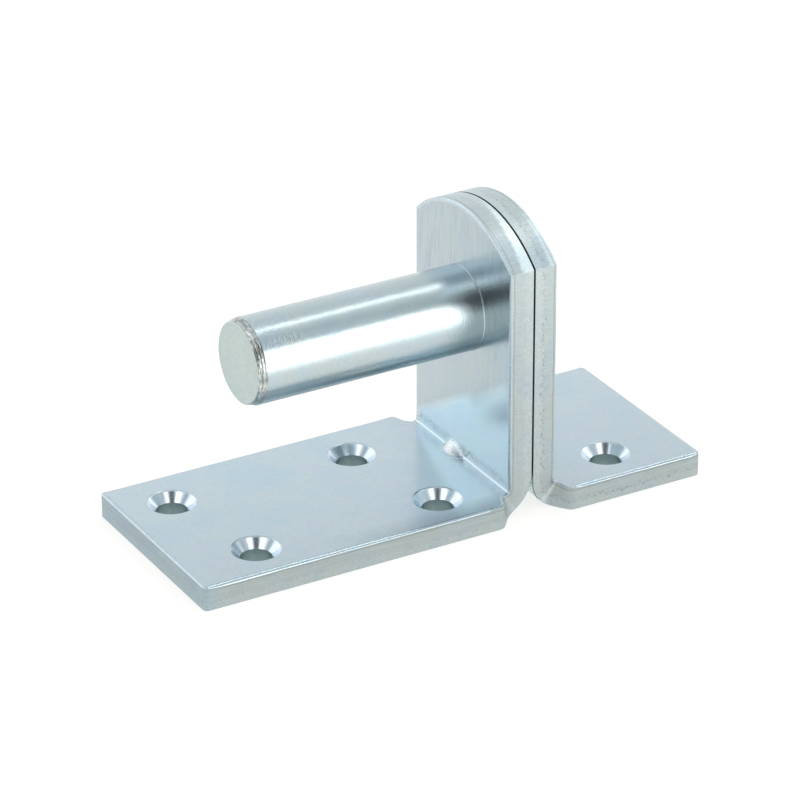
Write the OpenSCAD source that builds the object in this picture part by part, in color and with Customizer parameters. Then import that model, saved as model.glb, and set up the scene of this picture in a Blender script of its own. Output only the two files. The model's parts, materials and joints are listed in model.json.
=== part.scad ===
// Gate hinge hook: two folded steel brackets held back to back by a riveted hinge pin.
// The long plate and the pin point toward -X, the short plate toward +X.
// The origin is the middle of the mounting face, under both plates, and +Z points away from the post.

/* [Strip] */
// Thickness of the steel strip that both brackets are cut from
strip_thickness = 4.7; // [4:0.1:5.5]
// Width of the two mounting plates
plate_width = 41; // [38:0.5:60]
// Radius of the soft edge that shearing leaves along the strip's upper face
rolled_edge = 0.75; // [0.3:0.05:1.5]
// Corner radius of the plates' free ends, seen from above
plate_corner = 1; // [0.5:0.1:4]

/* [Plates] */
// Length of the long plate, measured from the joint between the tongues
long_reach = 68.5; // [64:0.5:120]
// Length of the short plate, measured from the joint between the tongues
short_reach = 34; // [32:0.5:80]
// Distance from the tongue's back at which the long plate reaches its full width
long_notch = 7.7; // [6.5:0.1:11]
// Distance from the tongue's back at which the short plate reaches its full width
short_notch = 6.1; // [5:0.1:9]
// Length along the plate over which the notch's side slants out to the full width
notch_slant = 2.2; // [0.5:0.1:4]

/* [Tongues] */
// Width of the upright tongues
tongue_width = 34; // [26:0.5:37]
// Height of the tongues' crown above the mounting face
tongue_height = 54.8; // [50:0.1:80]
// Radius of the crown, which is larger than half the tongue's width
crown_radius = 25; // [19:0.5:45]
// Gap left between the backs of the two tongues
joint_gap = 0.2; // [0.1:0.05:0.8]

/* [Bends] */
// Inside radius of both bends
bend_inner = 1.2; // [0.6:0.1:3]
// Outside radius of the long bracket's bend
long_bend_outer = 7.5; // [5:0.1:9]
// Outside radius of the short bracket's bend
short_bend_outer = 5.4; // [4:0.1:8]

/* [Stiffening bead] */
// Diameter of the round bar whose shape the bead in the long bracket's inside corner has
bead_diameter = 7; // [5:0.5:10]
// Distance that the bead's crest reaches along the plate and up the tongue
bead_reach = 3.2; // [2:0.1:4]
// Distance of the bead from the middle of the strip
bead_offset = 1.5; // [-8:0.5:8]
// Depth of the dent that the pressing leaves on the outside of the bend
bead_dent = 0.8; // [0.3:0.1:1.2]

/* [Screw holes] */
// Diameter of the screw holes
hole_diameter = 5.8; // [4:0.1:7]
// Diameter of the countersinks at the plates' upper face
countersink_diameter = 9.4; // [8:0.1:12]
// Depth of the countersinks
countersink_depth = 1.7; // [1:0.1:3.5]
// Distance between neighbouring holes in one row of the long plate
hole_pitch = 37; // [20:0.5:38]
// Lead of the near row's holes toward +X over the far row's
hole_stagger = 5; // [0:0.5:7]
// Distance between the two rows
row_spacing = 22.8; // [18:0.2:24]
// Distance of the rows' middle line from the middle of the strip, toward -Y
row_offset = 0.7; // [0:0.1:1.5]
// Distance from the long plate's end to its first hole
long_end_margin = 9.6; // [7:0.2:11]
// Distance from the short plate's end to its first hole
short_end_margin = 15.3; // [8:0.1:16]

/* [Pin] */
// Diameter of the hinge pin
pin_diameter = 16; // [14:0.5:20]
// Length of the pin in front of the tongue
pin_reach = 45.7; // [30:0.1:60]
// Height of the pin's axis above the mounting face
pin_height = 35; // [26:0.5:38]
// Length of the lead-in taper at the pin's free end
lead_length = 1.65; // [0.5:0.05:4]
// Depth of the lead-in taper, measured on the radius
lead_depth = 0.5; // [0.2:0.05:1.5]
// Diameter of the shank that passes through both tongues
shank_diameter = 11; // [8:0.5:12.5]
// Clearance round the shank, measured on the radius
shank_clearance = 0.05; // [0.02:0.01:0.3]
// Diameter of the head that the shank is peened into behind the tongues
head_diameter = 15; // [14:0.5:18]
// Height of the peened head
head_height = 2.2; // [1:0.1:4]

/* [Hidden] */
$fn = 96;
// Distance that cutting bodies run past the faces they cut
overcut = 1;
// Place of the joint between the tongues, so that both plates lie centred on the origin
joint_x = (long_reach - short_reach) / 2;
// Distance from the joint to the outer face of each tongue
tongue_face = joint_gap / 2 + strip_thickness;
// Height of the crown's centre
crown_centre = tongue_height - crown_radius;
near_row = -row_offset - row_spacing / 2;
far_row = -row_offset + row_spacing / 2;
// Radius of the sphere that the peened head is a cap of
head_sphere = (pow(head_diameter / 2, 2) + pow(head_height, 2)) / (2 * head_height);

// Section of the strip with its two upper edges rolled, its lower face on the X axis
module strip_section(width) {
    translate([-width / 2, 0])
        square([width, strip_thickness - rolled_edge]);
    translate([-width / 2 + rolled_edge, 0])
        square([width - 2 * rolled_edge, strip_thickness]);
    for (side = [-1, 1])
        translate([side * (width / 2 - rolled_edge), strip_thickness - rolled_edge])
            circle(rolled_edge);
}

// Side view of a folded strip: tongue up the Y axis, plate along the X axis
module fold_profile(reach, bend_outer) {
    difference() {
        union() {
            square([reach - rolled_edge, strip_thickness]);
            square([reach, strip_thickness - rolled_edge]);
            translate([reach - rolled_edge, strip_thickness - rolled_edge])
                circle(rolled_edge);
            square([strip_thickness, tongue_height + overcut]);
            translate([strip_thickness, strip_thickness])
                difference() {
                    square(bend_inner);
                    translate([bend_inner, bend_inner])
                        circle(bend_inner);
                }
        }
        difference() {
            translate([-overcut, -overcut])
                square(bend_outer + overcut);
            translate([bend_outer, bend_outer])
                circle(bend_outer);
        }
    }
}

// Plan of a plate: full width with round free corners, slanting in to the tongue's width at the bend
module plate_plan(reach, notch) {
    straight_end = reach - plate_corner;
    polygon([
        [-overcut, -tongue_width / 2],
        [notch - notch_slant, -tongue_width / 2],
        [notch, -plate_width / 2],
        [straight_end, -plate_width / 2],
        [straight_end, plate_width / 2],
        [notch, plate_width / 2],
        [notch - notch_slant, tongue_width / 2],
        [-overcut, tongue_width / 2]
    ]);
    translate([straight_end - overcut, -plate_width / 2 + plate_corner])
        square([plate_corner + overcut, plate_width - 2 * plate_corner]);
    for (side = [-1, 1])
        translate([straight_end, side * (plate_width / 2 - plate_corner)])
            circle(plate_corner);
}

// Space that the plate may fill: its plan, with the long edges rolled
module plate_envelope(reach, notch) {
    intersection() {
        linear_extrude(strip_thickness + overcut)
            plate_plan(reach, notch);
        rotate([90, 0, 90])
            linear_extrude(reach + overcut)
                strip_section(plate_width);
    }
}

// Space that the bend may fill, as wide as the tongue
module bend_envelope() {
    translate([0, -tongue_width / 2, 0])
        cube([strip_thickness + bend_inner, tongue_width, strip_thickness + bend_inner]);
}

// Round crown with a rolled rim, as a disc about the X axis on top of a plain block
module crown_envelope() {
    translate([0, 0, crown_centre])
        rotate([0, 90, 0])
            rotate_extrude()
                intersection() {
                    strip_section(2 * crown_radius);
                    square([crown_radius, strip_thickness]);
                }
    translate([0, -plate_width / 2, 0])
        cube([strip_thickness, plate_width, crown_centre]);
}

// Space that the tongue may fill: its section run upward, under the crown
module tongue_envelope() {
    intersection() {
        rotate([0, 0, -90])
            linear_extrude(tongue_height + overcut)
                strip_section(tongue_width);
        crown_envelope();
    }
}

// Countersunk screw hole through a plate
module screw_hole() {
    translate([0, 0, -overcut])
        cylinder(d = hole_diameter, h = strip_thickness + 2 * overcut);
    cone_slope = (countersink_diameter - hole_diameter) / 2 / countersink_depth;
    translate([0, 0, strip_thickness - countersink_depth])
        cylinder(
            d1 = hole_diameter,
            d2 = countersink_diameter + 2 * overcut * cone_slope,
            h = countersink_depth + overcut
        );
}

// Round bar laid across the bend at 45 degrees, its crest at a distance from the outer corner
module corner_bar(crest) {
    centre = (crest - bead_diameter / 2) / sqrt(2);
    translate([centre, bead_offset, centre])
        rotate([0, 135, 0])
            cylinder(d = bead_diameter, h = 4 * strip_thickness, center = true);
}

// Bead in the inside corner: the part of the bar that stands out of the folded strip
module corner_bead() {
    buried = strip_thickness / 2;
    intersection() {
        corner_bar((strip_thickness + bead_reach / 2) * sqrt(2));
        translate([buried, -plate_width / 2, buried])
            cube([buried + bead_reach, plate_width, buried + bead_reach]);
    }
}

// Dent that pressing the bead leaves on the outside of the bend
module corner_dent(bend_outer) {
    corner_bar(bend_outer * (sqrt(2) - 1) + bead_dent);
}

// One bracket, its tongue's back on the YZ plane and its plate toward +X
module folded_bracket(reach, notch, bend_outer) {
    difference() {
        intersection() {
            rotate([90, 0, 0])
                linear_extrude(plate_width + 2 * overcut, center = true)
                    fold_profile(reach, bend_outer);
            union() {
                plate_envelope(reach, notch);
                bend_envelope();
                tongue_envelope();
            }
        }
        translate([-overcut, 0, pin_height])
            rotate([0, 90, 0])
                cylinder(
                    d = shank_diameter + 2 * shank_clearance,
                    h = strip_thickness + 2 * overcut
                );
    }
}

// Long bracket: four staggered screw holes and the pressed bead in the corner below the pin
module long_bracket() {
    first_hole = long_reach - joint_gap / 2 - long_end_margin;
    color([0.74, 0.80, 0.83])
        translate([joint_x, 0, 0])
            mirror([1, 0, 0])
                translate([joint_gap / 2, 0, 0])
                    difference() {
                        union() {
                            folded_bracket(long_reach - joint_gap / 2, long_notch, long_bend_outer);
                            corner_bead();
                        }
                        corner_dent(long_bend_outer);
                        for (step = [0, hole_pitch]) {
                            translate([first_hole - step, far_row, 0])
                                screw_hole();
                            translate([first_hole - step - hole_stagger, near_row, 0])
                                screw_hole();
                        }
                    }
}

// Short bracket: one pair of screw holes with the same stagger
module short_bracket() {
    first_hole = short_reach - joint_gap / 2 - short_end_margin;
    color([0.74, 0.80, 0.83])
        translate([joint_x + joint_gap / 2, 0, 0])
            difference() {
                folded_bracket(short_reach - joint_gap / 2, short_notch, short_bend_outer);
                translate([first_hole, near_row, 0])
                    screw_hole();
                translate([first_hole - hole_stagger, far_row, 0])
                    screw_hole();
            }
}

// Half section of the turned pin: radius across, length up, with the joint plane at zero
module pin_profile() {
    free_end = tongue_face + pin_reach;
    pin_radius = pin_diameter / 2;
    polygon([
        [0, -tongue_face],
        [shank_diameter / 2, -tongue_face],
        [shank_diameter / 2, tongue_face],
        [pin_radius, tongue_face],
        [pin_radius, free_end - lead_length],
        [pin_radius - lead_depth, free_end],
        [0, free_end]
    ]);
    intersection() {
        translate([0, -tongue_face - head_height + head_sphere])
            circle(head_sphere, $fn = 180);
        translate([0, -tongue_face - head_height])
            square([head_diameter / 2, head_height]);
    }
}

// Hinge pin: turned with a shoulder, set through both tongues and peened over behind them
module hinge_pin() {
    color([0.80, 0.83, 0.84])
        translate([joint_x, 0, pin_height])
            rotate([0, -90, 0])
                rotate_extrude()
                    pin_profile();
}

long_bracket();
short_bracket();
hinge_pin();
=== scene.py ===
# %% [markdown]
# Gate hinge hook, dressed in bright zinc.
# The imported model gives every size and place. This file makes the surfaces: strip with sheared
# edges, a fold with its tool marks, countersinks, and a turned pin, all under a coat of zinc.

import json
import math

import bmesh
import bpy
from mathutils import Matrix, Vector, noise


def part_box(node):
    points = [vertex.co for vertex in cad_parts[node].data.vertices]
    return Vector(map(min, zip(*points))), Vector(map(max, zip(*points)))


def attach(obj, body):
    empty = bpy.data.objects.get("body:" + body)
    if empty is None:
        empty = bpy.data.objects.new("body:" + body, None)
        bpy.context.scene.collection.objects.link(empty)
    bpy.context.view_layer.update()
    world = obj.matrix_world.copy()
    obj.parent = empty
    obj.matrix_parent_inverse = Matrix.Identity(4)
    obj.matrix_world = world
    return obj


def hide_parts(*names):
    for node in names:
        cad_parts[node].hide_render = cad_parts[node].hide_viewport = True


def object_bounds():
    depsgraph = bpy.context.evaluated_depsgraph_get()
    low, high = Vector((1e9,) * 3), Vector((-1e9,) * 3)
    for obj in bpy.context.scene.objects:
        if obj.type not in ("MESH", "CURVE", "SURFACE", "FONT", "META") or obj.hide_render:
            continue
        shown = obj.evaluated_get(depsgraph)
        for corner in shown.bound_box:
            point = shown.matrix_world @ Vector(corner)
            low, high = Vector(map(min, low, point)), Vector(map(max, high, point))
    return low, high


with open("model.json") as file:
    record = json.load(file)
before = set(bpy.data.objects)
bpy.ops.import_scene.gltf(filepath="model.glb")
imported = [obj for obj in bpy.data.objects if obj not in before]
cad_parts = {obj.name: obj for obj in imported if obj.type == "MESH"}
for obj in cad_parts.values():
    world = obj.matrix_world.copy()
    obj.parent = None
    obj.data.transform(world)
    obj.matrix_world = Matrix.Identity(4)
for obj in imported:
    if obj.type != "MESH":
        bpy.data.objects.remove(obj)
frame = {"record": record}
cad_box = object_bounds()
mm = 0.001
print("CAD box in mm:", [[round(c / mm, 2) for c in corner] for corner in cad_box])

# %% [markdown]
# The camera comes first, because every later choice is judged through it.
# A long lens far away keeps the plates' edges nearly parallel, as in a catalogue picture.
# Its place was fitted to the hook's outline, so the aim is a plain point inside the hook.

# %% Camera
camera_place = Vector((-351.09, -615.23, 378.78)) * mm
camera_aim = Vector((2.13, 4.62, 16.80)) * mm
camera_roll = math.radians(-0.135)
camera_data = bpy.data.cameras.new("camera")
camera_data.lens = 198.17
camera_data.sensor_width = 36
camera_data.clip_start = 0.05
camera = bpy.data.objects.new("camera", camera_data)
bpy.context.scene.collection.objects.link(camera)
camera.location = camera_place
level = (camera_aim - camera_place).to_track_quat("-Z", "Y").to_matrix()
camera.rotation_euler = (level @ Matrix.Rotation(camera_roll, 3, "Z")).to_euler()
bpy.context.scene.camera = camera
bpy.context.scene.view_settings.view_transform = "Standard"
print("camera to aim in mm:", round((camera_aim - camera_place).length / mm, 1))

# %% [markdown]
# A shader is a small graph, and most of its lines only add a node and join two sockets.
# The first helper does both, so that each material below reads as a list of what it is made of.
# A socket knows the graph that it is in, as id_data, so the other helpers need not be told.

# %% Helper for shader graphs
def add_node(tree, kind, settings=None, **inputs):
    """Add a node; inputs are values or sockets, named as the socket with _ for spaces, or i0, i1..."""
    made = tree.nodes.new("ShaderNode" + kind)
    for name, value in (settings or {}).items():
        setattr(made, name, value)
    for name, value in inputs.items():
        numbered = name[0] == "i" and name[1:].isdigit()
        socket = made.inputs[int(name[1:]) if numbered else name.replace("_", " ")]
        if isinstance(value, bpy.types.NodeSocket):
            tree.links.new(value, socket)
        else:
            socket.default_value = value
    return made


def colour_ramp(factor, bands):
    """A ramp through colours, each at its place from 0 to 1."""
    ramp = add_node(factor.id_data, "ValToRGB", Fac=factor)
    stops = ramp.color_ramp.elements
    while len(stops) < len(bands):
        stops.new(0.5)
    for stop, (place, colour) in zip(stops, bands):
        stop.position = place
        stop.color = (*colour, 1)
    return ramp.outputs["Color"]


def blended(first, second, share):
    """Two colours in one, the second with a share."""
    mix = add_node(first.id_data, "Mix", {"data_type": "RGBA"}, i0=share, i6=first, i7=second)
    return mix.outputs[2]


print("helper:", add_node.__name__)

# %% [markdown]
# Bright metal has hardly a colour of its own: it shows what stands around it. So the studio comes
# before the metal, and whatever stands in it is placed by the direction in which a surface looks.
# A direction is a compass angle, 0 along the plates to the short one, and a height, both in degrees.

# %% Directions and soft patches
def toward(compass, height):
    """Unit direction from the hook; at compass 90 it points away to the back."""
    flat = math.cos(math.radians(height))
    turn = math.radians(compass)
    return Vector((flat * math.cos(turn), flat * math.sin(turn), math.sin(math.radians(height))))


smooth = {"interpolation_type": "SMOOTHSTEP"}


def patch(direction, compass, height, inner, outer):
    """1 within some degrees of a direction, fading to 0 at some more."""
    middle = toward(compass, height)
    tree = direction.id_data
    near = add_node(tree, "VectorMath", {"operation": "DOT_PRODUCT"}, i0=direction, i1=middle)
    edges = {"From_Min": math.cos(math.radians(outer)), "From_Max": math.cos(math.radians(inner))}
    return add_node(tree, "MapRange", smooth, Value=near.outputs["Value"], **edges).outputs[0]


to_camera = (camera_place - camera_aim).normalized()
camera_compass = math.degrees(math.atan2(to_camera.y, to_camera.x))
camera_height = math.degrees(math.asin(to_camera.z))
print("camera at compass", round(camera_compass), "height", round(camera_height))

# %% [markdown]
# The studio is a light tent. It could be a ring of lamps and cards, but here it is the sky of the
# world, drawn as a graph: bands of pale cloth from below to above, and over them the bright and
# dark patches that the hook mirrors. The dark ones round the camera make each countersink's streak.

# %% Light tent
world = bpy.data.worlds.new("light_tent")
bpy.context.scene.world = world
world.use_nodes = True
sky = world.node_tree
sky.nodes.clear()
direction = add_node(sky, "TexCoord").outputs["Generated"]
height = add_node(sky, "SeparateXYZ", Vector=direction).outputs["Z"]
from_below_to_above = add_node(sky, "MapRange", Value=height, From_Min=-1.0).outputs[0]
cloth_bands = [
    (0.00, (0.95, 0.96, 0.96)),
    (0.50, (0.98, 0.99, 1.00)),
    (0.74, (0.94, 0.97, 1.00)),
    (0.88, (0.82, 0.86, 0.88)),
    (1.00, (0.80, 0.84, 0.88)),
]
light = colour_ramp(from_below_to_above, cloth_bands)
# compass, height, inner and outer radius in degrees, colour
tent_patches = {
    "back left cloth": (125, 28, 12, 38, (1.32, 1.37, 1.42)),
    "dark opening": (-45, 50, 6, 19, (0.46, 0.54, 0.58)),
    "dark right": (-28, 42, 4, 12, (0.30, 0.35, 0.40)),
    "dark left": (150, 43, 5, 15, (0.30, 0.35, 0.40)),
    "dark camera": (-118, 33, 15, 29, (0.05, 0.05, 0.06)),
    "dark above camera": (-119, 61, 11, 18, (0.03, 0.04, 0.04)),
    "strip light": (19, 62, 2, 6, (5.0, 5.0, 5.0)),
    "front light": (-76, 58, 5, 11, (2.6, 2.6, 2.6)),
    "left light": (-165, 57, 6, 13, (2.6, 2.6, 2.6)),
    "right light": (3, 25, 6, 16, (1.6, 1.6, 1.6)),
}
for compass, up, inner, outer, colour in tent_patches.values():
    here = patch(direction, compass, up, inner, outer)
    light = blended(light, (*colour, 1), here)
tent = add_node(sky, "Background", Color=light, Strength=1.0)
add_node(sky, "OutputWorld", Surface=tent.outputs[0])
print("tent patches:", ", ".join(tent_patches))

# %% [markdown]
# One wide soft lamp at the front right makes the pin's white band. How white that is depends on
# power and size, so the helper takes the brightness and works out the power.

# %% Soft lamp
def soft_lamp(name, compass, height, distance, width, tall, radiance):
    """Rectangular lamp that faces the hook, of a given brightness, sizes in metres."""
    data = bpy.data.lights.new(name, "AREA")
    data.shape = "RECTANGLE"
    data.size = width
    data.size_y = tall
    data.energy = radiance * math.pi * width * tall
    lamp = bpy.data.objects.new(name, data)
    bpy.context.scene.collection.objects.link(lamp)
    away = toward(compass, height)
    lamp.location = away * distance
    lamp.rotation_euler = away.to_track_quat("Z", "Y").to_euler()
    print(name, "has", round(data.energy, 1), "W")


lamp_compass = -60
soft_lamp("front_right_softbox", lamp_compass, 18, 1.3, 1.4, 0.84, 2.3)

# %% [markdown]
# The photograph's ground is pure white. White paper under a lamp would show a shadow, so this paper
# is grey and gives off light of its own. It glows most on the lamp's side, where the pin mirrors it,
# and that lets the pin's white band fade out below.

# %% Floor
floor_size = 8
floor_gap = 0.02 * mm
glow_distance = 0.36
glow_reach = (0.29, 0.08)
glow_strength = (0.76, 1.9)
bpy.ops.mesh.primitive_plane_add(size=floor_size, location=(0, 0, cad_box[0].z - floor_gap))
floor = bpy.context.object
floor.name = "floor"
paper = bpy.data.materials.new("floor_paper")
paper.use_nodes = True
paper_tree = paper.node_tree
paper_shader = paper_tree.nodes["Principled BSDF"]
paper_shader.inputs["Base Color"].default_value = (0.30, 0.298, 0.288, 1)
paper_shader.inputs["Roughness"].default_value = 0.9
paper_shader.inputs["Emission Color"].default_value = (1.0, 0.995, 0.975, 1)
lamp_side = toward(lamp_compass, 0) * glow_distance
on_floor = add_node(paper_tree, "TexCoord").outputs["Object"]
away = add_node(paper_tree, "VectorMath", {"operation": "DISTANCE"}, i0=on_floor, i1=lamp_side)
glow = add_node(
    paper_tree, "MapRange", smooth, Value=away.outputs["Value"],
    From_Min=glow_reach[0], From_Max=glow_reach[1], To_Min=glow_strength[0], To_Max=glow_strength[1],
)
paper_tree.links.new(glow.outputs[0], paper_shader.inputs["Emission Strength"])
floor.data.materials.append(paper)
print("floor lies below the hook by mm:", round((cad_box[0].z - floor.location.z) / mm, 3))

# %% [markdown]
# Marks on metal have a size, so all patterns are drawn in millimetres: on a bracket in those of its
# flat blank, so that they run round the bend, and on the pin in its own. Noise makes nearly all of
# them. Its grains can be long one way and short the other, and it rarely leaves the middle of its
# range, so that part is stretched over the whole.

# %% Patterns in millimetres
noise_range = (0.3, 0.7)


def pattern_place(tree, name):
    """Where a pattern is drawn, in millimetres: a stored place of the blank, or the object itself."""
    if name == "object":
        place = add_node(tree, "TexCoord").outputs["Object"]
        return add_node(tree, "VectorMath", {"operation": "SCALE"}, i0=place, i3=1 / mm).outputs[0]
    return add_node(tree, "Attribute", {"attribute_name": name}).outputs["Vector"]


def grain(place, size, detail=2.0, shift=0.0):
    """Noise from 0 to 1 whose grains have a size of their own along each axis."""
    scale = [1 / s for s in size]
    stretch = add_node(place.id_data, "Mapping", Vector=place, Scale=scale, Location=(shift,) * 3)
    made = add_node(place.id_data, "TexNoise", Vector=stretch.outputs[0], Scale=1.0, Detail=detail)
    return made.outputs["Fac"]


def spread(value, low, high, bottom=0.0, top=1.0):
    """Stretch a pattern's range from low..high to bottom..top."""
    ends = {"From_Min": low, "From_Max": high, "To_Min": bottom, "To_Max": top}
    return add_node(value.id_data, "MapRange", Value=value, **ends).outputs[0]


def mixed(first, second, share):
    """Two patterns in one, the second with a share."""
    mix = add_node(first.id_data, "Mix", {"data_type": "FLOAT"}, i0=share, i2=first, i3=second)
    return mix.outputs[0]


def share_where(pattern, share):
    """1 where a pattern is 0, and a share where it is 1."""
    return spread(pattern, 0, 1, 1.0, share)


def times(first, second):
    """Product of two patterns, or of a pattern and a number."""
    made = add_node(first.id_data, "Math", {"operation": "MULTIPLY"}, i0=first, i1=second)
    return made.outputs[0]


def plus(first, second):
    """Sum of two patterns, or of a pattern and a number."""
    made = add_node(first.id_data, "Math", {"operation": "ADD"}, i0=first, i1=second)
    return made.outputs[0]


def axis(place, name):
    """One coordinate of a place."""
    return add_node(place.id_data, "SeparateXYZ", Vector=place).outputs[name]


def multiplied(colour, shade):
    """A colour darkened or lightened by a pattern or by another colour."""
    kind = {"data_type": "RGBA", "blend_type": "MULTIPLY"}
    return add_node(colour.id_data, "Mix", kind, i0=1.0, i6=colour, i7=shade).outputs[2]


print("noise range:", noise_range)

# %% [markdown]
# Zinc is a thin clear-blue coat, and it lies on rolled, sheared, drilled and turned steel. So there
# is one recipe for the coat, and each kind of surface adds its own marks.
# The coat's tint drifts a little, as the film's thickness does. One height gives the shade, the
# roughness and the bump, so that a low place is also a little darker and duller.

# %% The coat of zinc
def zinc(name, tints, cloud, marks, shades, roughness, depth, coords="blank", extra=None):
    """Zinc on one kind of surface; lengths in mm.

    cloud is the size of the tint's patches and depth that of the bump. marks(place) gives
    the tool's marks, from 0, low, to 1, high; shades and roughness say what low and high look like.
    """
    material = bpy.data.materials.new(name)
    material.use_nodes = True
    tree = material.node_tree
    shader = tree.nodes["Principled BSDF"]
    place = pattern_place(tree, coords)
    tint = colour_ramp(spread(grain(place, (cloud,) * 3, 3.0), *noise_range), tints)
    marked = marks(place)
    colour = multiplied(tint, spread(marked, 0, 1, *shades))
    rough = spread(marked, 0, 1, roughness[1], roughness[0])
    if extra:
        colour, rough = extra(place, colour, rough)
    tree.links.new(colour, shader.inputs["Base Color"])
    shader.inputs["Metallic"].default_value = 1.0
    tree.links.new(rough, shader.inputs["Roughness"])
    bump = add_node(tree, "Bump", Height=marked, Distance=depth * mm, Strength=1.0)
    tree.links.new(bump.outputs["Normal"], shader.inputs["Normal"])
    return material


print("recipe:", zinc.__name__)

# %% [markdown]
# Rolled strip is almost smooth. It has fine pits and a few scratches, and where it was drawn up
# into the tongue a faint grain runs along it.

# %% Marks of the rolling mill
def rolled_strip(place):
    """Pits, a few scratches, and on the tongue faint grain along the strip."""
    lines = grain(place, (9, 0.3, 0.3))
    pits = grain(place, (0.5, 0.5, 0.5), 4.0)
    on_tongue = spread(axis(place, "X"), 2, -8, 0.12, 0.6)
    surface = spread(mixed(pits, lines, on_tongue), *noise_range, 0.15, 1.0)
    scratch = spread(grain(place, (4, 0.12, 0.3), 1.0, 7.0), 0.70, 0.74, 1.0, 0.6)
    return times(surface, scratch)


print("pattern:", rolled_strip.__name__)

# %% [markdown]
# The folding tool scuffed the strip beside the bend, and handling left streaks, specks and scratches.
# Painted on a picture they would blur close up, so they are noise, let through by the distance
# from the bend, which is over 0 on the plate and under 0 on the tongue. In the corner the two
# mirror each other, and a painted light and shade helps where the photograph differs from what the
# tent makes: lighter low on the tongue, darker on the plate by the bend and along the long plate's
# front edge. The faces are also painted a little darker in front than behind, a painted shade.

# %% Marks of the fold and of handling
bend_middle = 3.2
bead_tints = [(0.00, (0.60, 0.65, 0.65)), (0.50, (0.78, 0.81, 0.80)), (1.00, (0.90, 0.93, 0.93))]
bead_roughness = 0.44


def scuffs_scratches_and_painted_gradient(place, from_bend):
    """Shade for scuffs, streaks up the tongue, specks and scratches, and a painted shade darker in
    front.
    """
    beside = times(spread(from_bend, -4.2, -2.8), spread(from_bend, -0.4, -1.8))
    scuffs = spread(grain(place, (0.15, 0.6, 9), 4.0, 11.0), 0.48, 0.62)
    upper_tongue = spread(from_bend, -16, -30)
    streaks = spread(grain(place, (5, 0.5, 9), 4.0, 15.0), 0.48, 0.72)
    specks = spread(grain(place, (0.5, 0.4, 0.5), 2.0, 21.0), 0.75, 0.80)
    scratches = spread(grain(place, (5, 0.09, 2), 1.0, 31.0), 0.76, 0.80)
    shade = share_where(times(beside, scuffs), 0.55)
    shade = times(shade, share_where(times(upper_tongue, streaks), 0.87))
    shade = times(shade, share_where(specks, 0.70))
    shade = times(shade, share_where(scratches, 0.88))
    # Painted shade and light: a little darker at the front of each face and lighter at the back.
    return times(shade, spread(axis(place, "Y"), -20, 20, 0.95, 1.04))


def painted_corner_light(place, from_bend, painted_front_shade):
    """Painted light and shade by the corner, with a painted shade band at the plate's front edge."""
    across = axis(place, "Y")
    on_plate = spread(from_bend, -0.2, 0.2)
    sees_plate = plus(across, times(from_bend, -1.63))
    higher_in_front = plus(from_bend, spread(across, -5, -14, 0, 7))
    # Painted light: the tongue is lighter low in the corner, where it mirrors the plate, and darker
    # higher up.
    bright = times(spread(higher_in_front, -17, -13), spread(sees_plate, 24, 21))
    painted_tongue_shade = spread(bright, 0, 1, 0.86, 1.21)
    # Painted shade: a band along the plate's front edge near the bend, and the plate darker by the
    # bend.
    painted_front_band = times(spread(across, -15, -19.7), spread(from_bend, 40, 8))
    painted_front_band = share_where(times(painted_front_band, on_plate), painted_front_shade)
    painted_plate_shade = times(spread(from_bend, 1, 11, 0.94, 1.0), painted_front_band)
    return mixed(painted_tongue_shade, painted_plate_shade, on_plate)


def dress_bead(place, colour, rough):
    """Give the bead its crushed skin, pale and dull, with a ragged border."""
    lift = add_node(place.id_data, "Attribute", {"attribute_name": "bead"}).outputs["Fac"]
    ragged = spread(grain(place, (0.5, 0.5, 0.5), 3.0, 2.0), *noise_range, -0.15, 0.15)
    on_bead = spread(plus(lift, ragged), 0.2, 1.2)
    crushed = spread(grain(place, (0.45, 0.45, 0.45), 4.0), *noise_range)
    dressed = blended(colour, colour_ramp(crushed, bead_tints), on_bead)
    return dressed, mixed(rough, bead_roughness, on_bead)


def handling_marks_and_painted_light(painted_front_shade):
    """Handling marks, and painted light and shade; painted_front_shade is the light left at the front
    edge.
    """
    def marks_and_painted_light(place, colour, rough):
        from_bend = plus(axis(place, "X"), -bend_middle)
        shade = scuffs_scratches_and_painted_gradient(place, from_bend)
        shade = times(shade, painted_corner_light(place, from_bend, painted_front_shade))
        return dress_bead(place, multiplied(colour, shade), rough)

    return marks_and_painted_light


print("bead roughness:", bead_roughness)

# %% [markdown]
# A shear leaves a burnished band where the blade rubbed, and below it torn grain where the strip
# broke. They could be two materials, but their border is ragged, so one material knows its height.
# The crown and its shoulders are painted lighter, a painted light, with a painted glint by the joint.

# %% Marks of the shear
def torn_zone(place):
    """1 where the strip broke, low on a sheared edge, and 0 above, with a ragged border."""
    ragged = spread(grain(place, (0.7, 0.7, 40), 5.0), *noise_range, -0.6, 0.6)
    return spread(plus(axis(place, "Z"), ragged), 2.2, 1.5)


def sheared_edge(place):
    """Streaks and scores where the blade rubbed, torn grain where the strip broke."""
    streaks = grain(place, (6, 6, 0.3), 3.0)
    scores = grain(place, (0.32, 0.32, 1.8), 4.0)
    torn = grain(place, (0.4, 0.4, 0.22), 4.0, 3.0)
    on_tongue = spread(axis(place, "X"), 2, -1, 0.25, 0.7)
    burnished = mixed(streaks, scores, on_tongue)
    return spread(mixed(burnished, torn, torn_zone(place)), *noise_range)


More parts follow.
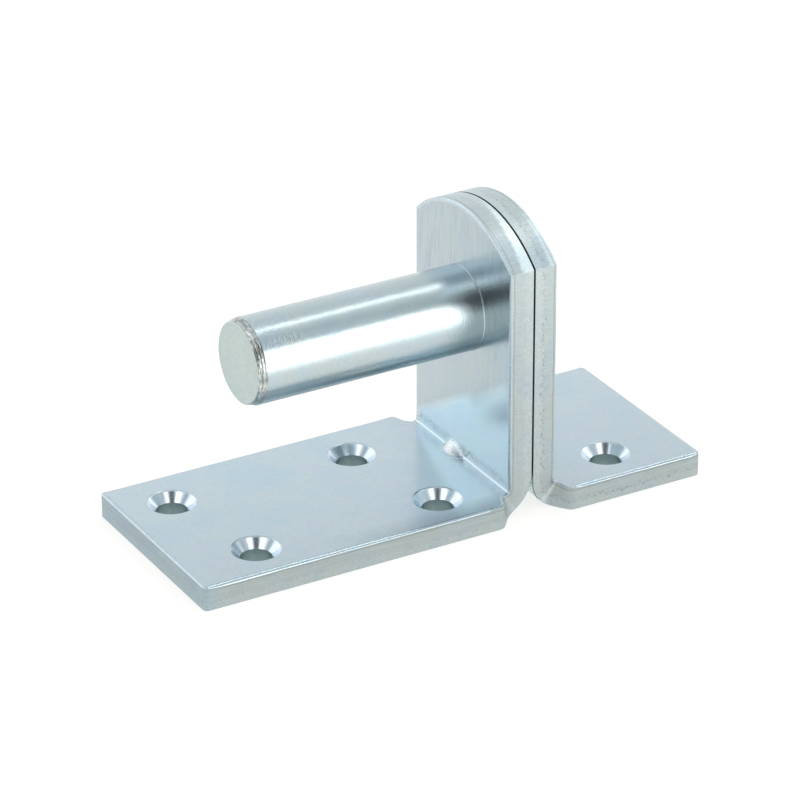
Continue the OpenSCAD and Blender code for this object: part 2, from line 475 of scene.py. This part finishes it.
def edge_lines(crown_start, painted_glint_band, taper, painted_glint_share, speck_share):
    """A dark line under the rolled edge, specks on the torn border, painted light and a painted glint
    on the crown.
    """
    def lines(place, colour, rough):
        along, across = axis(place, "X"), axis(place, "Y")
        wander = spread(grain(place, (3, 3, 90), 2.0, 5.0), *noise_range, -0.08, 0.08)
        height = plus(axis(place, "Z"), wander)
        at_end = spread(along, 64, 67.5)
        # A dark line drawn just under the rolled edge, much fainter at the plate's end; the mesh has
        # no groove there.
        line_under_roll = times(spread(height, 3.85, 4.0), spread(height, 4.15, 4.0))
        line_under_roll = times(line_under_roll, share_where(at_end, 0.2))
        lined = multiplied(colour, share_where(line_under_roll, 0.62))
        # Painted light: the crown and its shoulders are painted lighter, and a painted glint runs by
        # the joint.
        on_crown = spread(along, crown_start, crown_start - 0.2)
        ragged = grain(place, (0.3, 0.3, 1.5), 4.0, 8.0)
        tapered = plus(height, spread(ragged, *noise_range, -0.3, 0.3))
        tapered = plus(tapered, spread(across, -16, 2, 0, taper))
        near_side = times(spread(across, 4, -6), spread(tapered, *painted_glint_band))
        painted_glint = share_where(times(on_crown, near_side), painted_glint_share)
        torn = torn_zone(place)
        # The torn grain is a touch lighter; the crown's factor is painted light.
        shade = times(share_where(torn, 1.07), share_where(on_crown, 1.34))
        shade = times(shade, spread(along, 0, 4, 1.0, 0.93))
        border = times(spread(torn, 0, 0.5), spread(torn, 1, 0.5))
        specks = spread(grain(place, (0.4, 0.4, 0.3), 4.0, 6.0), 0.46, 0.60)
        shade = times(shade, share_where(times(border, specks), 1 - speck_share))
        shaded = multiplied(lined, times(shade, painted_glint))
        bluer = multiplied(shaded, (0.92, 1.0, 1.08, 1))
        return blended(shaded, bluer, at_end), rough

    return lines


def drawn_edge(place):
    """Long soft streaks where the edge was drawn down."""
    streaks = grain(place, (4, 1.2, 0.25), 2.0)
    grains = grain(place, (0.35, 0.35, 0.35), 2.0)
    return spread(mixed(streaks, grains, 0.4), *noise_range)


print("patterns:", sheared_edge.__name__, drawn_edge.__name__)

# %% [markdown]
# A countersink and a turned pin carry rings round their own axis, and a ring is noise that is read
# by the radius, or by the place along the bar. The chamfer was turned coarsely, the pin's end
# faced clean, and the head hammered, so each has a pattern of its own.

# %% Marks of the lathe, the drill and the hammer
def spun_cut(place):
    """Rings round the hole's axis."""
    tree = place.id_data
    flat = add_node(tree, "VectorMath", {"operation": "MULTIPLY"}, i0=place, i1=(1, 1, 0)).outputs[0]
    radius = add_node(tree, "VectorMath", {"operation": "LENGTH"}, i0=flat).outputs["Value"]
    rings = add_node(tree, "CombineXYZ", X=radius, Y=0.0, Z=0.0).outputs[0]
    return spread(grain(rings, (0.15, 1, 1)), *noise_range)


def turned_bar(place):
    """Fine rings round the bar, broken into short strokes, with coarser specks near the tongue."""
    rings = grain(place, (0.2, 1.0, 1.0), 3.0)
    specks = grain(place, (0.3, 0.3, 0.3), 3.0, 4.0)
    near_tongue = spread(axis(place, "X"), -6, 8, 0.35, 0.8)
    return spread(mixed(rings, specks, near_tongue), *noise_range)


def faced_end(place):
    """Almost plain, with a faint mottle."""
    return spread(grain(place, (0.5, 0.5, 0.5), 2.0), *noise_range)


def coarse_turning(place):
    """Deep uneven grooves round the chamfer."""
    grooves = grain(place, (0.28, 4, 4), 2.0)
    chatter = grain(place, (0.35, 0.9, 0.9), 3.0, 2.0)
    return spread(mixed(grooves, chatter, 0.5), 0.32, 0.68)


def hammered(place):
    """Broad shallow dents."""
    return spread(grain(place, (1.3, 1.3, 1.3), 3.0), *noise_range)


tool_marks = (spun_cut, turned_bar, faced_end, coarse_turning, hammered)
print("patterns:", ", ".join(pattern.__name__ for pattern in tool_marks))

# %% [markdown]
# The tints are ramps between a few near colours, read by broad noise. Blue-bright zinc is a cool
# grey on the strip, a little greener on the cut edges, and lighter where a tool left it shiny.
# The joint between the tongues gets hardly any light, so its walls are painted dark, a painted shade.

# %% Tints
strip_tints = [
    (0.00, (0.515, 0.635, 0.695)),
    (0.30, (0.540, 0.640, 0.685)),
    (0.50, (0.560, 0.650, 0.675)),
    (0.70, (0.550, 0.630, 0.690)),
    (1.00, (0.525, 0.640, 0.680)),
]
edge_tints = [
    (0.00, (0.40, 0.46, 0.49)),
    (0.35, (0.42, 0.48, 0.49)),
    (0.60, (0.43, 0.48, 0.48)),
    (0.80, (0.42, 0.48, 0.47)),
    (1.00, (0.43, 0.47, 0.48)),
]
cut_tints = [(0.00, (0.70, 0.80, 0.88)), (1.00, (0.78, 0.84, 0.88))]
bore_tints = [(0.00, (0.26, 0.36, 0.39)), (1.00, (0.34, 0.44, 0.44))]
# Painted shade for the walls of the joint.
joint_shade_tints = [(0.00, (0.05, 0.07, 0.08)), (1.00, (0.10, 0.12, 0.12))]
lead_tints = [(0.00, (0.40, 0.41, 0.39)), (0.50, (0.52, 0.57, 0.56)), (1.00, (0.62, 0.63, 0.60))]
pin_tints = [
    (0.00, (0.52, 0.63, 0.68)),
    (0.45, (0.55, 0.64, 0.68)),
    (0.70, (0.56, 0.64, 0.64)),
    (1.00, (0.53, 0.63, 0.67)),
]
end_tints = [(0.00, (0.48, 0.57, 0.57)), (0.50, (0.51, 0.59, 0.58)), (1.00, (0.53, 0.60, 0.57))]
print("strip tints:", len(strip_tints), "pin tints:", len(pin_tints))

# %% Zinc for each kind of surface
face_look = (strip_tints, 9, rolled_strip, (0.97, 1.02), (0.19, 0.27), 0.0015)
# Only the long plate gets the painted shade band along its front edge.
zinc_long_face = zinc("zinc_on_long_strip", *face_look, extra=handling_marks_and_painted_light(0.6))
zinc_short_face = zinc("zinc_on_short_strip", *face_look, extra=handling_marks_and_painted_light(1.0))
zinc_roll = zinc("zinc_on_rolled_edge", strip_tints, 6, drawn_edge, (0.90, 1.04), (0.20, 0.32), 0.012)

side_look = (edge_tints, 5, sheared_edge, (0.88, 1.07), (0.34, 0.46), 0.012)
long_lines = edge_lines(-41.45, (2.6, 2.0), 1.8, 1.45, 0.1)
short_lines = edge_lines(-42.35, (2.7, 3.5), -1.5, 1.35, 0.4)
zinc_long_side = zinc("zinc_on_long_side", *side_look, extra=long_lines)
zinc_short_side = zinc("zinc_on_short_side", *side_look, extra=short_lines)
# Painted shade: near-black tints on the joint's walls, where little light reaches.
zinc_joint_shade = zinc("zinc_in_joint", joint_shade_tints, 2, sheared_edge, (0.8, 1.1), (0.5, 0.6), 0.010)

sink_look = (cut_tints, 4, spun_cut, (0.90, 1.04), (0.20, 0.27), 0.005)
bore_look = (bore_tints, 1.5, spun_cut, (0.85, 1.1), (0.40, 0.55), 0.01)
zinc_sink = zinc("zinc_in_countersink", *sink_look, coords="hole")
zinc_bore = zinc("zinc_in_bore", *bore_look, coords="hole")

bar_look = (pin_tints, 12, turned_bar, (0.885, 0.99), (0.19, 0.27), 0.021)
end_look = (end_tints, 5, faced_end, (0.96, 1.03), (0.34, 0.42), 0.004)
lead_look = (lead_tints, 2, coarse_turning, (0.22, 1.55), (0.12, 0.34), 0.06)
head_look = (end_tints, 4, hammered, (0.9, 1.05), (0.26, 0.4), 0.05)
zinc_pin = zinc("zinc_on_turned_bar", *bar_look, coords="object")
zinc_end = zinc("zinc_on_faced_end", *end_look, coords="object")
zinc_lead = zinc("zinc_on_chamfer", *lead_look, coords="object")
zinc_head = zinc("zinc_on_peened_head", *head_look, coords="object")
print("materials:", len(bpy.data.materials))

# %% [markdown]
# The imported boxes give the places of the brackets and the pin, and the mounts those of the holes.
# Blender's tools stop seeing gaps below a tenth of a millimetre when the scene is in metres, so each
# piece is modelled with one unit to a millimetre, and shrunk last.

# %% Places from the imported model, in millimetres
def node_box(name):
    """Low and high corner of a CAD node's box."""
    low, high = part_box(name)
    return low / mm, high / mm


long_low, long_high = node_box("long_bracket")
short_low, short_high = node_box("short_bracket")
pin_low, _ = node_box("hinge_pin")
mounts = {mount["name"]: mount for mount in frame["record"]["mounts"]}
pin_radius = mounts["pintle"]["dims"]["r_mm"]
pin_height = mounts["pintle"]["pos_m"][2] / mm
bore_radius = mounts["screw_short_near"]["dims"]["r_mm"]
plate_width = long_high.y - long_low.y
tongue_top = long_high.z


def holes_of(*names):
    """Centres of the screw holes that some mounts stand for."""
    centres = []
    for name in names:
        x, y, _ = (c / mm for c in mounts[name]["pos_m"])
        spacing = mounts[name]["dims"].get("spacing_x_mm", 0)
        centres += [(x - spacing / 2, y), (x + spacing / 2, y)] if spacing else [(x, y)]
    return centres


long_holes = holes_of("screws_far_row", "screws_near_row")
short_holes = holes_of("screw_short_near", "screw_short_far")
print("holes:", len(long_holes), "and", len(short_holes))

# %% [markdown]
# The rest was measured in the photograph. The strip's rounded edge is a list of rings, each with
# its width and its rise: steep at the side, flat at the face. The corners of the notch are bevelled
# by a little more than the rings' widths together, because narrower ones would fold over.

# %% Sizes of the strip, in millimetres
strip = 4.7
tongue_width = 34
crown_radius = 25
plate_corner = 1
cut_corner = 0.75
notch_slant = 2.2
notch_fillet = 1.4
drawn_profile = [
    (0.04, 0.10), (0.10, 0.12), (0.12, 0.11), (0.12, 0.08), (0.12, 0.05), (0.12, 0.03), (0.10, 0.01),
]
roll_height = sum(rise for _, rise in drawn_profile)
burr_profile = [(0.06, 0.08), (0.05, 0.02)]
burr_edge = sum(rise for _, rise in burr_profile)
bend_inner = 0.5
roll_width = sum(width for width, _ in drawn_profile)
print("rolled edge:", round(roll_width, 2), "wide and", round(roll_height, 2), "high")

# %% [markdown]
# A bracket could be built folded, but then every edge would have to be rounded round the bend. The
# press shop cuts a flat blank, punches it, and folds it last. Done in that order here too, the
# rolled edge and the notches bend along by themselves.

# %% Helpers for modelling by hand
smooth_angle = 35


def make_only(piece):
    """Leave edit mode and make a piece the only selected one."""
    if bpy.context.mode != "OBJECT":
        bpy.ops.object.mode_set(mode="OBJECT")
    bpy.ops.object.select_all(action="DESELECT")
    piece.select_set(True)
    bpy.context.view_layer.objects.active = piece


def start_editing(piece):
    """Make a piece the only selected one and enter its edit mode."""
    make_only(piece)
    bpy.ops.object.mode_set(mode="EDIT")


def stop_editing():
    """Back to object mode."""
    bpy.ops.object.mode_set(mode="OBJECT")


def pick(kind, test):
    """In edit mode, select the faces, edges or verts that pass a test, and nothing else."""
    bpy.ops.mesh.select_mode(type={"verts": "VERT", "edges": "EDGE", "faces": "FACE"}[kind])
    bpy.ops.mesh.select_all(action="DESELECT")
    data = bpy.context.edit_object.data
    mesh = bmesh.from_edit_mesh(data)
    mesh.normal_update()
    for part in getattr(mesh, kind):
        if test(part):
            part.select_set(True)
    mesh.select_flush_mode()
    bmesh.update_edit_mesh(data)


def extrude(x=0.0, z=0.0):
    """Extrude what is selected and move it."""
    bpy.ops.mesh.extrude_region_move(TRANSFORM_OT_translate={"value": (x, 0, z)})


def bevel(offset, segments):
    """Round the selected edges."""
    bpy.ops.mesh.bevel(offset=offset, offset_type="OFFSET", segments=segments, affect="EDGES")


def apply_modifier(piece, kind, **settings):
    """Add a modifier with its settings and apply it."""
    make_only(piece)
    modifier = piece.modifiers.new(kind.lower(), kind)
    for name, value in settings.items():
        setattr(modifier, name, value)
    bpy.ops.object.modifier_apply(modifier=modifier.name)


def finish_shading(piece):
    """Smooth the gentle corners, keep the sharp ones, and let the broad faces rule the shading."""
    start_editing(piece)
    bpy.ops.mesh.select_all(action="SELECT")
    bpy.ops.mesh.normals_make_consistent(inside=False)
    stop_editing()
    bpy.ops.object.shade_smooth_by_angle(angle=math.radians(smooth_angle))
    apply_modifier(piece, "WEIGHTED_NORMAL", keep_sharp=True, weight=100)


print("corners over", smooth_angle, "degrees stay sharp")

# %% [markdown]
# The blank grows from one cube. Its end is extruded for the slanted notches and on along the
# tongue, and the last edge is divided and set on the crown's circle. A curve could give the same
# outline, but its corners would be harder to bevel one by one.

# %% Cutting the flat blank
close = 1e-3
crown_cuts = 39


def is_upright(edge):
    """True for an edge that crosses the strip's thickness."""
    a, b = (v.co for v in edge.verts)
    return math.hypot(a.x - b.x, a.y - b.y) < close and abs(a.z - b.z) > close


def pick_upright(x):
    """Select the upright edges at a place along the blank."""
    pick("edges", lambda edge: is_upright(edge) and abs(edge.verts[0].co.x - x) < close)


def cut_blank(name, fold, reach, notch, zinc_face, zinc_side):
    """Plate, slanted notches, tongue and crown, with the upright corners rounded."""
    bpy.ops.mesh.primitive_cube_add(size=1, location=(0, 0, 0))
    blank = bpy.context.object
    blank.name = name
    for material in (zinc_face, zinc_roll, zinc_side, zinc_joint_shade):
        blank.data.materials.append(material)
    side = tongue_width / 2
    foot = notch - notch_slant
    crown_centre = tongue_top - crown_radius
    shoulder = fold.along_tongue(crown_centre + math.sqrt(crown_radius**2 - side**2))
    start_editing(blank)
    bpy.ops.transform.resize(value=(reach - notch, plate_width, strip - roll_height - burr_edge))
    bpy.ops.transform.translate(value=((reach + notch) / 2, 0, (strip - roll_height + burr_edge) / 2))
    pick("faces", lambda face: face.normal.x < -0.9)
    extrude(x=-notch_slant)
    bpy.ops.transform.resize(value=(1, tongue_width / plate_width, 1))
    extrude(x=shoulder - foot)
    at_end = lambda v: abs(v.co.x - shoulder) < close
    pick("edges", lambda e: at_end(e.verts[0]) and at_end(e.verts[1]) and not is_upright(e))
    bpy.ops.mesh.subdivide(number_cuts=crown_cuts, ngon=True)
    mesh = bmesh.from_edit_mesh(blank.data)
    for vertex in filter(at_end, list(mesh.verts)):
        vertex.co.x = fold.along_tongue(crown_centre + math.sqrt(crown_radius**2 - vertex.co.y**2))
    bmesh.update_edit_mesh(blank.data)
    pick_upright(reach)
    bevel(plate_corner, 8)
    pick_upright(notch)
    bevel(cut_corner, 5)
    pick_upright(foot)
    bevel(notch_fillet, 8)
    for way in (1, -1):
        pick("faces", lambda face: face.normal.z * way > 0.9)
        bpy.ops.mesh.dissolve_faces()
    return blank


print("crown in", crown_cuts + 1, "steps")

# %% [markdown]
# A shear draws the strip's upper edge down before it cuts, so the edge is round above and has a
# small burr below. A bevel could round it, but it can't start as gently as the drawn metal does.
# So the broad face is inset ring by ring, each ring a little higher, and the rings follow a curve.
# Afterwards a face's slope tells its material. The small bevel round the tongue's back looks into
# the joint, and has the joint's material, painted dark as painted shade.

# %% Drawing the edges down
on_face, on_roll, on_side, in_joint_shade = range(4)


def shape_edge(test, profile):
    """Inset a broad face ring by ring; profile holds each ring's (width, rise)."""
    pick("faces", test)
    for width, rise in profile:
        bpy.ops.mesh.inset(thickness=width, depth=rise, use_even_offset=True)


def draw_edges_down(blank):
    """Round the upper edge, break the lower one, and give each face its material."""
    shape_edge(lambda face: face.normal.z > 0.9, drawn_profile)
    shape_edge(lambda face: face.normal.z < -0.9, burr_profile)
    mesh = bmesh.from_edit_mesh(blank.data)
    for face in mesh.faces:
        flatness = abs(face.normal.z)
        below_tongue = face.normal.z < 0 and face.calc_center_median().x < 0
        # Bevels below the tongue get the joint's painted shade.
        sloped = in_joint_shade if below_tongue else on_roll
        face.material_index = on_side if flatness < 0.05 else sloped if flatness < 0.9999 else on_face
    bmesh.update_edit_mesh(blank.data)


def slice_along(places):
    """Cut the blank at places along it."""
    for place in places:
        pick("faces", lambda face: True)
        bpy.ops.mesh.bisect(plane_co=(place, 0, 0), plane_no=(1, 0, 0))


print("rings:", len(drawn_profile), "above and", len(burr_profile), "below")

# %% [markdown]
# The punches are turned shapes, made as on a lathe: a disc is extruded upwards step by step, and
# each step is scaled to the next radius of the profile. One Boolean takes all of them out at once.
# Its cuts stay tidy, because it meets only flat faces. The punch widens a little at the strip's
# face, and so each countersink gets a soft lip.

# %% Turned shapes
def turn_profile(profile, x, y, sides, materials, bands):
    """A closed piece standing on (x, y), from (radius, height) pairs; bands has each step's slot."""
    bpy.ops.mesh.primitive_circle_add(
        vertices=sides, radius=profile[0][0], fill_type="NGON", location=(0, 0, 0)
    )
    turned = bpy.context.object
    for material in materials:
        turned.data.materials.append(material)
    start_editing(turned)
    bpy.ops.mesh.select_all(action="SELECT")
    bpy.ops.transform.translate(value=(x, y, profile[0][1]))
    for (radius, height), (next_radius, next_height) in zip(profile, profile[1:]):
        extrude(z=next_height - height)
        bpy.ops.transform.resize(value=(next_radius / radius, next_radius / radius, 1))
    mesh = bmesh.from_edit_mesh(turned.data)
    for face in mesh.faces:
        middle = sum(v.co.z for v in face.verts) / len(face.verts)
        step = sum(1 for _, height in profile[1:-1] if height < middle)
        face.material_index = bands[min(step, len(bands) - 1)]
    bmesh.update_edit_mesh(turned.data)
    bpy.ops.mesh.select_all(action="SELECT")
    bpy.ops.mesh.normals_make_consistent(inside=False)
    stop_editing()
    return turned


print("lathe:", turn_profile.__name__)

# %% The punches that make the holes
sink_radius = 4.7
sink_depth = 1.7
rivet_radius = 5.55
hole_sides = 72
beyond = 1
lip = 0.2


def screw_punch(x, y):
    """Bore, countersink and a soft lip that crosses the strip's face."""
    profile = [
        (bore_radius + beyond + burr_edge, -beyond),
        (bore_radius, burr_edge),
        (bore_radius, strip - sink_depth),
        (sink_radius - 1.9 * lip, strip - 1.3 * lip),
        (sink_radius - 1.2 * lip, strip - 0.65 * lip),
        (sink_radius - 0.3 * lip, strip - 0.1 * lip),
        (sink_radius + 1.5 * lip, strip + 0.3 * lip),
        (sink_radius + 1.5 * lip, strip + beyond),
    ]
    materials = (zinc_bore, zinc_sink, zinc_roll)
    return turn_profile(profile, x, y, hole_sides, materials, (0, 0, 1, 1, 2, 2, 2))


def rivet_punch(x):
    """Plain hole for the pin's shank."""
    profile = [(rivet_radius, -beyond), (rivet_radius, strip / 2), (rivet_radius, strip + beyond)]
    return turn_profile(profile, x, 0, hole_sides, (zinc_bore,), (0,))


def punch(blank, tools):
    """Take the tools out of the blank, all at once."""
    make_only(tools[0])
    for tool in tools:
        tool.select_set(True)
    bpy.ops.object.join()
    cutter = bpy.context.object
    settings = {"operation": "DIFFERENCE", "solver": "EXACT", "material_mode": "TRANSFER"}
    apply_modifier(blank, "BOOLEAN", object=cutter, **settings)
    bpy.data.objects.remove(cutter)


print("bore", 2 * bore_radius, "countersink", 2 * sink_radius, "rivet hole", 2 * rivet_radius)

# %% [markdown]
# The fold turns flat places into folded ones: straight along the plate, round a right angle, and
# straight up the tongue. The outside of the bend is a wide arc and the inside a tight one. Blender's
# own bend tool knows one arc only, so each point of the bend is found here on a line that joins the
# two arcs, which is also how the strip thins in the real bend.

# %% The fold
neutral_share = 0.45


class Fold:
    """Where each place of a flat blank goes: plate along +X, tongue up +Z, its back on X = 0."""

    def __init__(self, outer):
        self.outer = outer
        self.zone = max(outer, strip + bend_inner)
        self.length = math.pi / 2 * (self.zone - neutral_share * strip)

    def along_tongue(self, z):
        """Place along the blank of a height on the tongue."""
        return 2 * self.zone - self.length - z

    def corner(self, angle, inset, radius):
        """Where the ray at an angle from the bend's centre meets a rounded corner."""
        side, up = math.sin(angle), math.cos(angle)
        reach = self.zone - inset
        if up > 1e-6 and self.zone - reach * side / up >= inset + radius:
            return Vector((self.zone - reach * side / up, inset))
        if side > 1e-6 and self.zone - reach * up / side >= inset + radius:
            return Vector((inset, self.zone - reach * up / side))
        centre = Vector((inset + radius, inset + radius))
        start = Vector((self.zone, self.zone)) - centre
        ray = Vector((-side, -up))
        half = start.dot(ray)
        span = -half + math.sqrt(max(half * half - start.length_squared + radius * radius, 0))
        return centre + start + ray * span

    def place(self, s, t):
        """Folded (x, z) of a place s along the blank and t up from its lower face."""
        if s >= self.zone:
            return Vector((s, t))
        if s <= self.zone - self.length:
            return Vector((t, 2 * self.zone - self.length - s))
        angle = (self.zone - s) / self.length * math.pi / 2
        outside = self.corner(angle, 0, self.outer)
        inside = self.corner(angle, strip, bend_inner)
        return outside.lerp(inside, t / strip)

    def cuts(self, steps):
        """Places along the blank where the bend needs an edge loop."""
        return [self.zone - self.length * k / steps for k in range(steps + 1)]


print("the strip keeps its length at", neutral_share, "of its thickness")

# %% [markdown]
# Before a point moves, its place on the flat blank and its place seen from the nearest hole are
# stored with it, and the materials read them. All attributes are added before any is looked up,
# because adding one makes earlier references invalid.

# %% Folding a blank
def fold_blank(blank, fold, back_x, way, holes, press=None):
    """Fold the flat piece and set it in place; way is +1 or -1, the side that its plate runs to."""
    data = blank.data
    for name, kind in (("blank", "FLOAT_VECTOR"), ("hole", "FLOAT_VECTOR"), ("bead", "FLOAT")):
        data.attributes.new(name, kind, "POINT")
    flat, hole, bead = (data.attributes[name].data for name in ("blank", "hole", "bead"))
    for vertex in data.vertices:
        s, y, t = vertex.co
        flat[vertex.index].vector = (s, y, t)
        nearest = min(holes, key=lambda h: (h[0] - s) ** 2 + (h[1] - y) ** 2)
        hole[vertex.index].vector = (s - nearest[0], y - nearest[1], t)
        folded = fold.place(s, t)
        if press:
            folded, bead[vertex.index].value = press(folded, y, t)
        vertex.co = Vector((back_x + way * folded.x, y, folded.y)) * mm
    finish_shading(blank)
    data.update()


print("folding stores the places: blank, hole and bead")

# %% [markdown]
# Sheared edges are never quite even. How far they were drawn down wanders a little, and it is more
# far from the bend than near it, where the strip was clamped. The plate's free end was parted by
# another tool, which drew it down only half as much, and the notches are nearly sharp. Smooth noise
# on the outline's points, before the holes are punched, gives the wander.

# %% Uneven edges
depth_at_bend = 0.62
depth_gained = 0.38
wander_depth = 0.22
wander_rate = 0.12
depth_at_end = 0.5
depth_in_notch = 0.3
depth_limits = (0.1, 1.15)


def clamped(value, low=0, high=1):
    """A value kept between two limits."""
    return min(max(value, low), high)


def make_uneven(blank, fold, reach, notch, seed):
    """Let the depth of the drawn edge change along the outline."""
    mesh = bmesh.from_edit_mesh(blank.data)
    for vertex in mesh.verts:
        s, y, z = vertex.co
        along = Vector((s, y, seed)) * wander_rate
        if strip - roll_height - close < z < strip - close:
            from_bend = clamped((s - fold.zone) / (reach - fold.zone))
            share = depth_at_bend + depth_gained * from_bend + wander_depth * noise.noise(along)
            share *= 1 - depth_at_end * clamped((s - reach + 1.6) / 0.8)
            from_notch = abs(s - notch + notch_slant / 2) - notch_slant / 2
            share *= depth_in_notch + (1 - depth_in_notch) * clamped((from_notch - 0.4) / 1.2)
            vertex.co.z = strip - (strip - z) * clamped(share, *depth_limits)
    bmesh.update_edit_mesh(blank.data)


print("drawn edge at the bend:", depth_at_bend, "of its full depth")

# %% [markdown]
# A blunt tool was pressed into the long bracket's bend from outside, so a small bead stands across
# the inside corner and stiffens it. It could be a ball joined to the mesh, but the real one is the
# strip itself and melts into both walls. So the corner's points are raised to the larger of two
# heights, the strip's and the bead's, blended where they are close. The dent outside is a guess.

# %% The bead in the corner
bead_offset = 2.5
bead_half = 2.9
bead_width = 3.0
bead_base = 0.05
bead_bulge = 1.35
bead_round = 0.65
bead_dent = 0.8
bead_soft = 1.1
bead_margin = 1.35
dent_width = 3


def soft_larger(a, b, soft):
    """The larger of two heights, blended where they are close."""
    gap = max(soft - abs(a - b), 0) / soft
    return max(a, b) + gap * gap * soft / 4


def press_bead(folded, y, t):
    """Push the corner in from outside: a bead stands across it, and a dent lies behind it.

    The lift comes back too, for the bead's crushed skin.
    """
    diagonal = Vector((1, 1))
    across = (y - bead_offset) / bead_half
    if abs(across) >= bead_margin:
        return folded, 0
    inner = t > strip / 2
    corner = Vector((strip, strip)) if inner else Vector((0, 0))
    out = (folded - corner).dot(diagonal) / math.sqrt(2)
    along = (folded - corner).dot(Vector((1, -1))) / math.sqrt(2)
    if inner:
        inside = 1 - across**2 - (along / bead_width) ** 2
        crest = bead_base + bead_bulge * (inside**bead_round if inside > 0 else 2 * inside)
        moved = soft_larger(out, crest, bead_soft)
    else:
        rise = math.cos(across / bead_margin * math.pi / 2) ** 1.5
        moved = out + bead_dent * rise * math.exp(-((along / dent_width) ** 2))
    lift = moved - out
    return folded + diagonal * (lift / math.sqrt(2)), lift if inner else 0


def mesh_for_bead(fold):
    """Fine cuts where the bead will rise, and nowhere else."""
    beside_bend = 3.5
    step = 0.25
    steps = 28
    low, high = fold.zone - fold.length - beside_bend, fold.zone + beside_bend
    slice_along([low + step * k for k in range(1, 14)] + [high - step * k for k in range(14)])
    for k in range(steps + 1):
        y = bead_offset + bead_half * bead_margin * (2 * k / steps - 1)
        pick("faces", lambda face: low < face.calc_center_median().x < high)
        bpy.ops.mesh.bisect(plane_co=(0, y, 0), plane_no=(0, 1, 0))


print("bead from y =", round(bead_offset - bead_half, 1), "to", round(bead_offset + bead_half, 1))

# %% [markdown]
# The drawn edge can only wander at points, so the straight parts get cuts across. They do nothing
# else to the form, and a bracket that is only seen from afar could do without them.

# %% Cuts across the straight parts
plate_step = 2.4
tongue_step = 2.2
tongue_start = -4


def slice_straights(fold, plate_cuts):
    """Cut the plate and the tongue in even steps on both sides of the bend."""
    on_plate = [fold.zone + plate_step * k for k in plate_cuts]
    slice_along(on_plate + [tongue_start - tongue_step * k for k in range(1, 17)])


print("cut every", plate_step, "and", tongue_step, "mm")

# %% [markdown]
# Now the brackets, in the press shop's order. The long one's bend is the wider one outside, and it
# alone has the bead.

# %% Long bracket
long_fold = Fold(outer=7.5)
long_back = long_high.x
long_reach = long_back - long_low.x
long_notch = 7.7
long_blank = cut_blank(
    "long_bracket_zinc", long_fold, long_reach, long_notch, zinc_long_face, zinc_long_side
)
draw_edges_down(long_blank)
slice_along(long_fold.cuts(steps=36))
slice_straights(long_fold, range(2, 25))
make_uneven(long_blank, long_fold, long_reach, long_notch, seed=1.0)
mesh_for_bead(long_fold)
stop_editing()
blank_holes = [(long_back - x, y) for x, y in long_holes]
rivet_place = long_fold.along_tongue(pin_height)
punch(long_blank, [screw_punch(x, y) for x, y in blank_holes] + [rivet_punch(rivet_place)])
fold_blank(long_blank, long_fold, long_back, -1, blank_holes, press_bead)
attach(long_blank, "root")
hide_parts("long_bracket")
print("long bracket faces:", len(long_blank.data.polygons))

# %% [markdown]
# The short bracket is made the same way, with a tighter bend outside and no bead. Its plate runs
# the other way, so the fold is mirrored by a sign and the mesh's normals are worked out afresh.

# %% Short bracket
short_fold = Fold(outer=5.4)
short_back = short_low.x
short_reach = short_high.x - short_back
short_notch = 6.1
short_blank = cut_blank(
    "short_bracket_zinc", short_fold, short_reach, short_notch, zinc_short_face, zinc_short_side
)
draw_edges_down(short_blank)
slice_along(short_fold.cuts(steps=24))
slice_straights(short_fold, range(1, 12))
make_uneven(short_blank, short_fold, short_reach, short_notch, seed=7.0)
stop_editing()
blank_holes = [(x - short_back, y) for x, y in short_holes]
rivet_place = short_fold.along_tongue(pin_height)
punch(short_blank, [screw_punch(x, y) for x, y in blank_holes] + [rivet_punch(rivet_place)])
fold_blank(short_blank, short_fold, short_back, 1, blank_holes)
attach(short_blank, "root")
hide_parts("short_bracket")
print("short bracket faces:", len(short_blank.data.polygons))

# %% [markdown]
# The pin is turned from bar: a faced end with a low rim, a rough chamfer, a straight body up to the
# tongue, a thinner shank through both tongues, and a head that was hammered flat behind them.
# It is modelled upright like a punch, ring by ring, and then laid down along the plates.
# The head's points sink by a little noise, as under a hammer.

# %% Pin
lead_length = 1.65
lead_depth = 0.5
shank_radius = 5.5
head_radius = 7.5
head_height = 2.2
head_edge = 0.7
head_rings = 9
hammer_depth = 0.12
hammer_rate = 0.45
pin_sides = 144
shoulder = long_back - strip - pin_low.x
seat = short_back + strip - pin_low.x
rim = [(3.0, 0.07), (6.2, 0.071), (6.45, 0.12), (6.75, 0.12), (7.0, 0.0)]
chamfer = [
    (pin_radius - lead_depth - 0.2, 0.02),
    (pin_radius - lead_depth, 0.15),
    (pin_radius - 0.06, lead_length),
]
bar = [
    (pin_radius, lead_length + 0.12),
    (pin_radius, shoulder - 0.25),
    (pin_radius + 0.03, shoulder - 0.12),
    (pin_radius + 0.08, shoulder),
]
shank = [(shank_radius, shoulder + 0.001), (shank_radius, seat)]
head = [
    (head_radius - 0.3, seat + 0.001),
    (head_radius, seat + 0.3),
    (head_radius, seat + head_edge),
]
for k in range(1, head_rings + 1):
    turn = math.pi / 2 * k / (head_rings + 0.7)
    rise = (head_height - head_edge) * math.sin(turn)
    head.append((head_radius * math.cos(turn), seat + head_edge + rise))
bands = [1] * 6 + [2] * 2 + [0] * 5 + [3] * len(head)
pin_materials = (zinc_pin, zinc_end, zinc_lead, zinc_head)
pin = turn_profile(rim + chamfer + bar + shank + head, 0, 0, pin_sides, pin_materials, bands)
pin.name = "hinge_pin_zinc"
for vertex in pin.data.vertices:
    x, y, z = vertex.co
    if z > seat + 0.5:
        dents = 0.5 + 0.5 * noise.noise(Vector((x, y, z)) * hammer_rate)
        z -= hammer_depth * dents * (z - seat) / head_height
    vertex.co = Vector((pin_low.x + z, y, pin_height - x)) * mm
finish_shading(pin)
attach(pin, "root")
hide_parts("hinge_pin")
print("pin faces:", len(pin.data.polygons))
